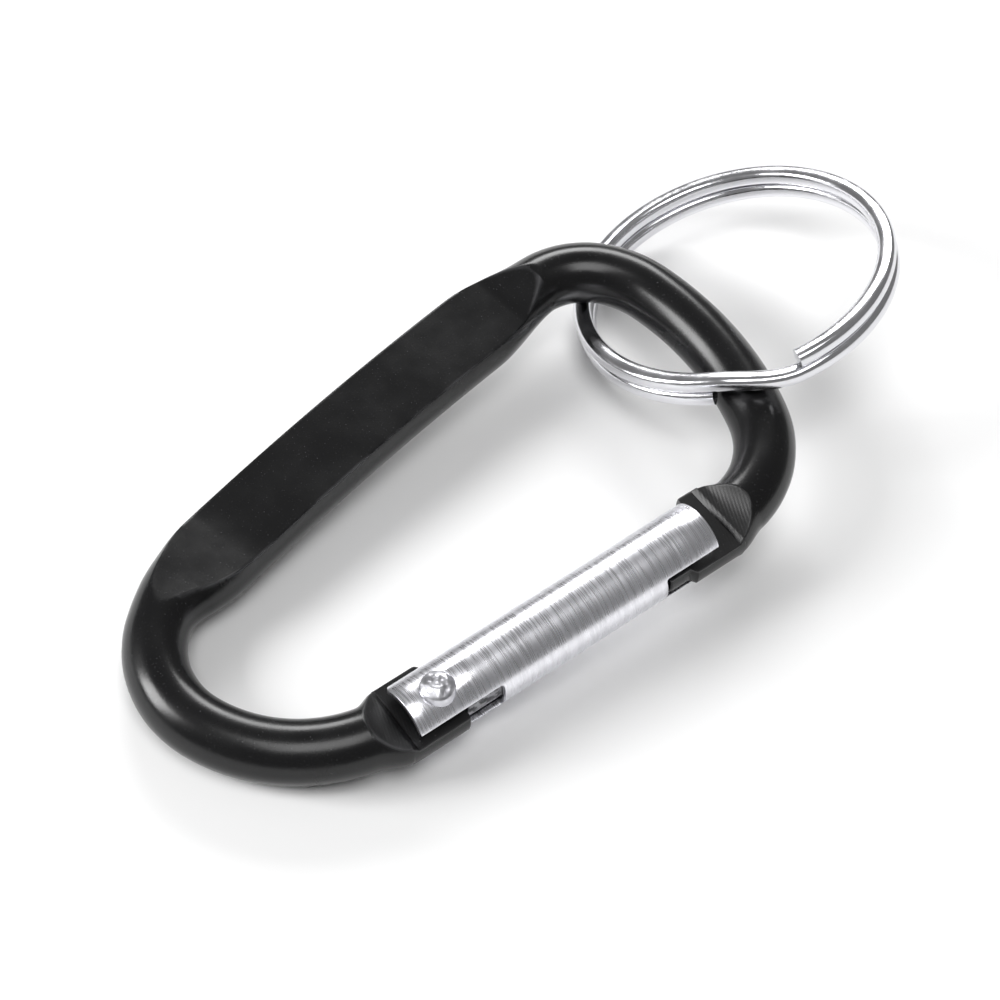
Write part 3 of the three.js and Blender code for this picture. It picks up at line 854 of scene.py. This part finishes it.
class KEYRING_OT_rivet(bpy.types.Operator):
    """Build the rivet with two peened heads seated on the tube"""

    bl_idname = "keyring.rivet"
    bl_label = "Pivot Rivet"

    def execute(self, context):
        sizes = context.scene.keyring_sizes
        head = sizes.rivet_head / MM / 2.0
        tube = sizes.tube / MM / 2.0 + 0.05
        offset = (PIVOT.y - AXIS_Y) / MM
        points, faces, shaded_dents = [], [], []
        steps, sides = 26, 72
        for side in (1.0, -1.0):
            rings, marks = [], []
            for layer in ("top", "under"):
                for k in range(steps):
                    share = k / steps if layer == "top" else 1.0 - k / steps
                    if share == 0.0:
                        share = 0.004
                    ring = []
                    for i in range(sides):
                        angle = TURN * i / sides
                        x = head * share * math.cos(angle)
                        y = head * share * math.sin(angle)
                        seat = math.sqrt(tube ** 2 - (y + offset) ** 2)
                        rough = noise.noise(Vector((x * 1.5, y * 1.5, 3.7 * side)))
                        rough = max(-0.5, min(0.5, rough))
                        dome = tube + 0.85 * math.sqrt(max(1.0 - share ** 2.3, 0.0))
                        up = seat if layer == "under" else max(seat, dome - 0.05
                                                               + 0.16 * rough * (1 - share ** 4))
                        ring.append(PIVOT + Vector((x, y, side * up)) * MM)
                        # Where the peened top dips, a mask for the painted shade in the hollows.
                        marks.append(max(0.0, -rough * 2.2) if layer == "top" else 0.0)
                    rings.append(ring)
            some, quads = skin_rings(rings)
            base = len(points)
            points += some
            order = 1 if side > 0.0 else -1
            faces += [tuple(base + v for v in face)[::order] for face in quads]
            shaded_dents += marks + [0.0, 0.0]
        shank = []
        for z in (-tube - 0.1, tube + 0.1):
            shank.append([PIVOT + Vector((math.cos(TURN * i / 48), math.sin(TURN * i / 48),
                                          z)) * MM for i in range(48)])
        some, quads = skin_rings(shank)
        base = len(points)
        points += some
        faces += [tuple(base + v for v in face) for face in quads]
        shaded_dents += [0.0] * len(some)
        piece = mesh_piece("rivet_heads", points, faces, hammered_aluminium(), {"shaded_dents": shaded_dents})
        attach(piece, "gate", "pivot_rivet")
        return {"FINISHED"}


class KEYRING_OT_plunger(bpy.types.Operator):
    """Build the plug between the spring and the hinge blade"""

    bl_idname = "keyring.plunger"
    bl_label = "Spring Plunger"

    def execute(self, context):
        low, high = (Vector(corner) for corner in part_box("spring_plunger"))
        radius = (high.y - low.y) / 2.0 / MM
        start = (low.x - HUB.x) / MM
        end = (high.x - HUB.x) / MM
        pin = 1.4
        shoulder = end - 2.25
        profile = [(start, 0.02), (start, radius - 0.3), (start + 0.09, radius - 0.09),
                   (start + 0.3, radius), (shoulder - 0.2, radius), (shoulder, radius - 0.2),
                   (shoulder, pin), (end - 0.25, pin), (end, pin - 0.25), (end, 0.02)]
        points, faces = skin_rings(lathe_x(profile, 96))
        piece = mesh_piece("plug", points, faces, dull_plug_metal())
        attach(piece, "plunger", "spring_plunger")
        return {"FINISHED"}


# ---- wire pieces made with Geometry Nodes ------------------------------------------------


def wire_tree(name, inputs):
    """A geometry tree with named inputs; gives the tree and its group nodes."""
    tree = bpy.data.node_groups.new(name, "GeometryNodeTree")
    tree.interface.new_socket("Geometry", in_out="OUTPUT", socket_type="NodeSocketGeometry")
    for label, kind, value in inputs:
        socket = tree.interface.new_socket(label, in_out="INPUT", socket_type=kind)
        if value is not None:
            socket.default_value = value
    return tree, tree.nodes.new("NodeGroupInput"), tree.nodes.new("NodeGroupOutput")


def field_math(tree, operation, *values):
    """A Math node for geometry fields; gives its output socket."""
    node = tree.nodes.new("ShaderNodeMath")
    node.operation = operation
    for slot, value in enumerate(values):
        if isinstance(value, (int, float)):
            node.inputs[slot].default_value = value
        else:
            tree.links.new(value, node.inputs[slot])
    return node.outputs[0]


def finish_tree(tree, outside, geometry):
    """Ends a tree in Realize Instances and Set Material."""
    realize = tree.nodes.new("GeometryNodeRealizeInstances")
    paint = tree.nodes.new("GeometryNodeSetMaterial")
    tree.links.new(geometry, realize.inputs[0])
    tree.links.new(realize.outputs[0], paint.inputs["Geometry"])
    tree.links.new(paint.outputs[0], outside.inputs[0])
    return paint


def soft_square(tree, width, height, power):
    """A wire's section: a circle pushed out towards its corners."""
    circle = tree.nodes.new("GeometryNodeCurvePrimitiveCircle")
    circle.inputs["Resolution"].default_value = 28
    circle.inputs["Radius"].default_value = 1.0
    place = tree.nodes.new("GeometryNodeInputPosition")
    parts = tree.nodes.new("ShaderNodeSeparateXYZ")
    tree.links.new(place.outputs[0], parts.inputs[0])
    joined = tree.nodes.new("ShaderNodeCombineXYZ")
    for axis, size in (("X", width), ("Y", height)):
        value = parts.outputs[axis]
        pushed = field_math(tree, "POWER", field_math(tree, "ABSOLUTE", value), power)
        signed = field_math(tree, "MULTIPLY", pushed, field_math(tree, "SIGN", value))
        tree.links.new(field_math(tree, "MULTIPLY", signed, size), joined.inputs[axis])
    move = tree.nodes.new("GeometryNodeSetPosition")
    tree.links.new(circle.outputs["Curve"], move.inputs["Geometry"])
    tree.links.new(joined.outputs[0], move.inputs["Position"])
    return move.outputs[0]


def ring_tree():
    """One wire wound nearly twice round, stepping from the upper coil down to the lower one."""
    number, whole = "NodeSocketFloat", "NodeSocketInt"
    tree, inside, outside = wire_tree("Split Ring Wire", [
        ("Coil Radius", number, 0.0155), ("Wire Width", number, 0.0018),
        ("Wire Height", number, 0.0017), ("Lift", number, 0.00086),
        ("First Angle", number, 0.0), ("Crossover", number, 0.5), ("Steps", whole, 500)])
    line = tree.nodes.new("GeometryNodeMeshLine")
    tree.links.new(inside.outputs["Steps"], line.inputs["Count"])
    index = tree.nodes.new("GeometryNodeInputIndex").outputs[0]
    last = field_math(tree, "SUBTRACT", inside.outputs["Steps"], 1.0)
    share = field_math(tree, "DIVIDE", index, last)
    full = field_math(tree, "SUBTRACT", 2.0 * TURN, inside.outputs["Crossover"])
    turned = field_math(tree, "MULTIPLY", share, full)
    angle = field_math(tree, "ADD", turned, inside.outputs["First Angle"])
    before = field_math(tree, "SUBTRACT", TURN, inside.outputs["Crossover"])
    past = field_math(tree, "DIVIDE", field_math(tree, "SUBTRACT", turned, before),
                      inside.outputs["Crossover"])
    ease = tree.nodes.new("ShaderNodeMapRange")
    ease.interpolation_type = "SMOOTHSTEP"
    ease.inputs["To Min"].default_value = 1.0
    ease.inputs["To Max"].default_value = -1.0
    tree.links.new(past, ease.inputs["Value"])
    joined = tree.nodes.new("ShaderNodeCombineXYZ")
    radius = inside.outputs["Coil Radius"]
    for axis, turn in (("X", "COSINE"), ("Y", "SINE")):
        value = field_math(tree, "MULTIPLY", field_math(tree, turn, angle), radius)
        tree.links.new(value, joined.inputs[axis])
    height = field_math(tree, "MULTIPLY", ease.outputs["Result"], inside.outputs["Lift"])
    tree.links.new(height, joined.inputs["Z"])
    move = tree.nodes.new("GeometryNodeSetPosition")
    tree.links.new(line.outputs[0], move.inputs["Geometry"])
    tree.links.new(joined.outputs[0], move.inputs["Position"])
    curve = tree.nodes.new("GeometryNodeMeshToCurve")
    tree.links.new(move.outputs[0], curve.inputs[0])
    upright = tree.nodes.new("GeometryNodeSetCurveNormal")
    upright.mode = "Z_UP"
    tree.links.new(curve.outputs[0], upright.inputs[0])
    half_width = field_math(tree, "MULTIPLY", inside.outputs["Wire Width"], 0.5)
    half_height = field_math(tree, "MULTIPLY", inside.outputs["Wire Height"], 0.5)
    sweep = tree.nodes.new("GeometryNodeCurveToMesh")
    tree.links.new(upright.outputs[0], sweep.inputs["Curve"])
    tree.links.new(soft_square(tree, half_width, half_height, 0.72),
                   sweep.inputs["Profile Curve"])
    sweep.inputs["Fill Caps"].default_value = True
    paint = finish_tree(tree, outside, sweep.outputs[0])
    return tree, paint


def spring_tree():
    """A round wire wound on a straight helix along +Z."""
    number = "NodeSocketFloat"
    tree, inside, outside = wire_tree("Gate Spring Wire", [
        ("Coil Radius", number, 0.0023), ("Wire Radius", number, 0.0003),
        ("Turns", number, 8.0), ("Length", number, 0.01)])
    spiral = tree.nodes.new("GeometryNodeCurveSpiral")
    spiral.inputs["Resolution"].default_value = 40
    tree.links.new(inside.outputs["Turns"], spiral.inputs["Rotations"])
    for label in ("Start Radius", "End Radius"):
        tree.links.new(inside.outputs["Coil Radius"], spiral.inputs[label])
    tree.links.new(inside.outputs["Length"], spiral.inputs["Height"])
    circle = tree.nodes.new("GeometryNodeCurvePrimitiveCircle")
    circle.inputs["Resolution"].default_value = 14
    tree.links.new(inside.outputs["Wire Radius"], circle.inputs["Radius"])
    sweep = tree.nodes.new("GeometryNodeCurveToMesh")
    tree.links.new(spiral.outputs[0], sweep.inputs["Curve"])
    tree.links.new(circle.outputs[0], sweep.inputs["Profile Curve"])
    sweep.inputs["Fill Caps"].default_value = True
    paint = finish_tree(tree, outside, sweep.outputs[0])
    return tree, paint


def wire_piece(name, tree, paint, material, values, placing):
    """Runs a wire tree, turns it into a plain mesh and puts its place in its points."""
    paint.inputs["Material"].default_value = material
    mesh = bpy.data.meshes.new(name)
    piece = bpy.data.objects.new(name, mesh)
    bpy.context.scene.collection.objects.link(piece)
    modifier = piece.modifiers.new("Wire", "NODES")
    modifier.node_group = tree
    for label, value in values.items():
        set_input(modifier, label, value)
    modified_mesh(piece)
    piece.data.transform(placing)
    turn_outwards(piece.data)
    piece.data.shade_smooth()
    piece.data.set_sharp_from_angle(angle=math.radians(40.0))
    return piece


RING_CENTRE = Vector((52.7, 21.0, 0.3))
RING_TILT, RING_TILT_AZIMUTH = 22.3, 109.3
CROSSOVER, CROSSOVER_PLACE = 32.0, 239.0


class KEYRING_OT_split_ring(bpy.types.Operator):
    """Wind the split ring's wire"""

    bl_idname = "keyring.split_ring"
    bl_label = "Split Ring"

    def execute(self, context):
        sizes = context.scene.keyring_sizes
        tree, paint = ring_tree()
        azimuth = math.radians(RING_TILT_AZIMUTH)
        tilt_axis = Vector((-math.sin(azimuth), math.cos(azimuth), 0.0))
        placing = Matrix.Translation(HUB + RING_CENTRE * MM)
        placing @= Matrix.Rotation(math.radians(RING_TILT), 4, tilt_axis)
        first = CROSSOVER_PLACE + CROSSOVER / 2.0 - 360.0
        values = {"Coil Radius": (sizes.ring - sizes.ring_wire_width) / 2.0,
                  "Wire Width": sizes.ring_wire_width, "Wire Height": sizes.ring_wire_height,
                  "Lift": (sizes.ring_wire_height + 0.06 * MM) / 2.0,
                  "First Angle": math.radians(first), "Crossover": math.radians(CROSSOVER),
                  "Steps": sizes.ring_steps}
        piece = wire_piece("ring_wire", tree, paint, plated_nickel(), values, placing)
        attach(piece, "ring", "split_ring")
        return {"FINISHED"}


class KEYRING_OT_spring(bpy.types.Operator):
    """Wind the gate's spring inside the tube"""

    bl_idname = "keyring.spring"
    bl_label = "Gate Spring"

    def execute(self, context):
        low, high = (Vector(corner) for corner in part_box("gate_spring"))
        wire = context.scene.keyring_sizes.spring_wire / 2.0
        tree, paint = spring_tree()
        values = {"Coil Radius": (high.y - low.y) / 2.0 - wire, "Wire Radius": wire,
                  "Turns": 8.0, "Length": high.x - low.x - 2.0 * wire}
        placing = Matrix.Translation(Vector((low.x + wire, HUB.y, HUB.z)))
        placing @= Matrix.Rotation(math.radians(90.0), 4, "Y")
        piece = wire_piece("spring_wire", tree, paint, spring_steel(), values, placing)
        attach(piece, "gate", "gate_spring")
        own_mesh(piece)
        return {"FINISHED"}


# ---- stage -------------------------------------------------------------------------------


def area_light(name, place, target, size_x, size_y, power, colour=(1.0, 1.0, 1.0)):
    """A soft rectangular light aimed at a point; sizes in metres."""
    data = bpy.data.lights.new(name, "AREA")
    data.shape = "RECTANGLE"
    data.size, data.size_y = size_x, size_y
    data.energy = power
    data.color = colour
    light = bpy.data.objects.new(name, data)
    light.location = place
    light.rotation_euler = (Vector(target) - Vector(place)).to_track_quat("-Z", "Y").to_euler()
    bpy.context.scene.collection.objects.link(light)
    return light


class KEYRING_OT_stage(bpy.types.Operator):
    """Set the floor, the soft lights and the camera"""

    bl_idname = "keyring.stage"
    bl_label = "Stage"

    def execute(self, context):
        scene = context.scene
        # The floor lies under the ring's lowest point and the frame's small end.
        slope = Vector((0.068, 0.012, 1.0)).normalized()
        turn = Vector((0.0, 0.0, 1.0)).rotation_difference(slope).to_matrix()
        rest = Vector((0.016, 0.017, 0.0))
        corners = [turn @ Vector((sx * 3.0, sy * 3.0, 0.0)) + rest
                   for sx, sy in ((-1, -1), (1, -1), (1, 1), (-1, 1))]
        mesh = bpy.data.meshes.new("floor")
        mesh.from_pydata([tuple(c) for c in corners], [], [(0, 1, 2, 3)])
        mesh.materials.append(pale_floor())
        floor = bpy.data.objects.new("floor", mesh)
        scene.collection.objects.link(floor)

        world = bpy.data.worlds.new("Studio")
        world.use_nodes = True
        world.node_tree.nodes["Background"].inputs["Color"].default_value = (1.0, 1.0, 1.0, 1.0)
        world.node_tree.nodes["Background"].inputs["Strength"].default_value = 0.2
        scene.world = world
        scene.view_settings.view_transform = "Standard"
        target = (0.0, 0.0, 0.0)
        area_light("Left Softbox", (-0.70, 0.45, 0.50), target, 0.35, 0.5, 8.0)
        area_light("Back Softbox", (0.60, 0.72, 0.50), target, 0.6, 0.35, 6.5)
        area_light("Top Softbox", (-0.12, -0.22, 0.95), target, 0.5, 0.5, 4.0)

        data = bpy.data.cameras.new("Camera")
        data.sensor_width = 36.0
        data.lens = 101.43
        data.clip_start = 0.01
        camera = bpy.data.objects.new("Camera", data)
        right = Vector((0.79661, -0.60355, 0.03383))
        up = Vector((0.48592, 0.67263, 0.55807))
        back = Vector((-0.35958, -0.42813, 0.82910))
        turn = Matrix((right, up, back)).transposed().to_4x4()
        place = HUB + Vector((-77.325, -99.587, 219.882)) * MM
        camera.matrix_world = Matrix.Translation(place) @ turn
        scene.collection.objects.link(camera)
        scene.camera = camera
        return {"FINISHED"}


# ---- panel and registration --------------------------------------------------------------

OPERATORS = (KEYRING_OT_frame, KEYRING_OT_gate_tube, KEYRING_OT_rivet, KEYRING_OT_plunger,
             KEYRING_OT_spring, KEYRING_OT_split_ring, KEYRING_OT_stage)


class KEYRING_PT_panel(bpy.types.Panel):
    """Lists the keyring's sizes, colours and pieces"""

    bl_idname = "KEYRING_PT_panel"
    bl_label = "Keyring"
    bl_space_type = "VIEW_3D"
    bl_region_type = "UI"
    bl_category = "Keyring"

    def draw(self, context):
        for group in (context.scene.keyring_sizes, context.scene.keyring_colours):
            for name in group.__annotations__:
                self.layout.prop(group, name)
        for operator in OPERATORS:
            self.layout.operator(operator.bl_idname)


CLASSES = (KeyringSizes, KeyringColours, *OPERATORS, KEYRING_PT_panel)


def register():
    """Adds the classes and the scene's settings."""
    for cls in CLASSES:
        bpy.utils.register_class(cls)
    bpy.types.Scene.keyring_sizes = PointerProperty(type=KeyringSizes)
    bpy.types.Scene.keyring_colours = PointerProperty(type=KeyringColours)


def unregister():
    """Removes them again."""
    del bpy.types.Scene.keyring_colours
    del bpy.types.Scene.keyring_sizes
    for cls in reversed(CLASSES):
        bpy.utils.unregister_class(cls)


def main():
    """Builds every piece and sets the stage."""
    register()
    bpy.ops.keyring.frame()
    bpy.ops.keyring.gate_tube()
    bpy.ops.keyring.rivet()
    bpy.ops.keyring.plunger()
    bpy.ops.keyring.spring()
    bpy.ops.keyring.split_ring()
    bpy.ops.keyring.stage()


if __name__ == "__main__":
    main()
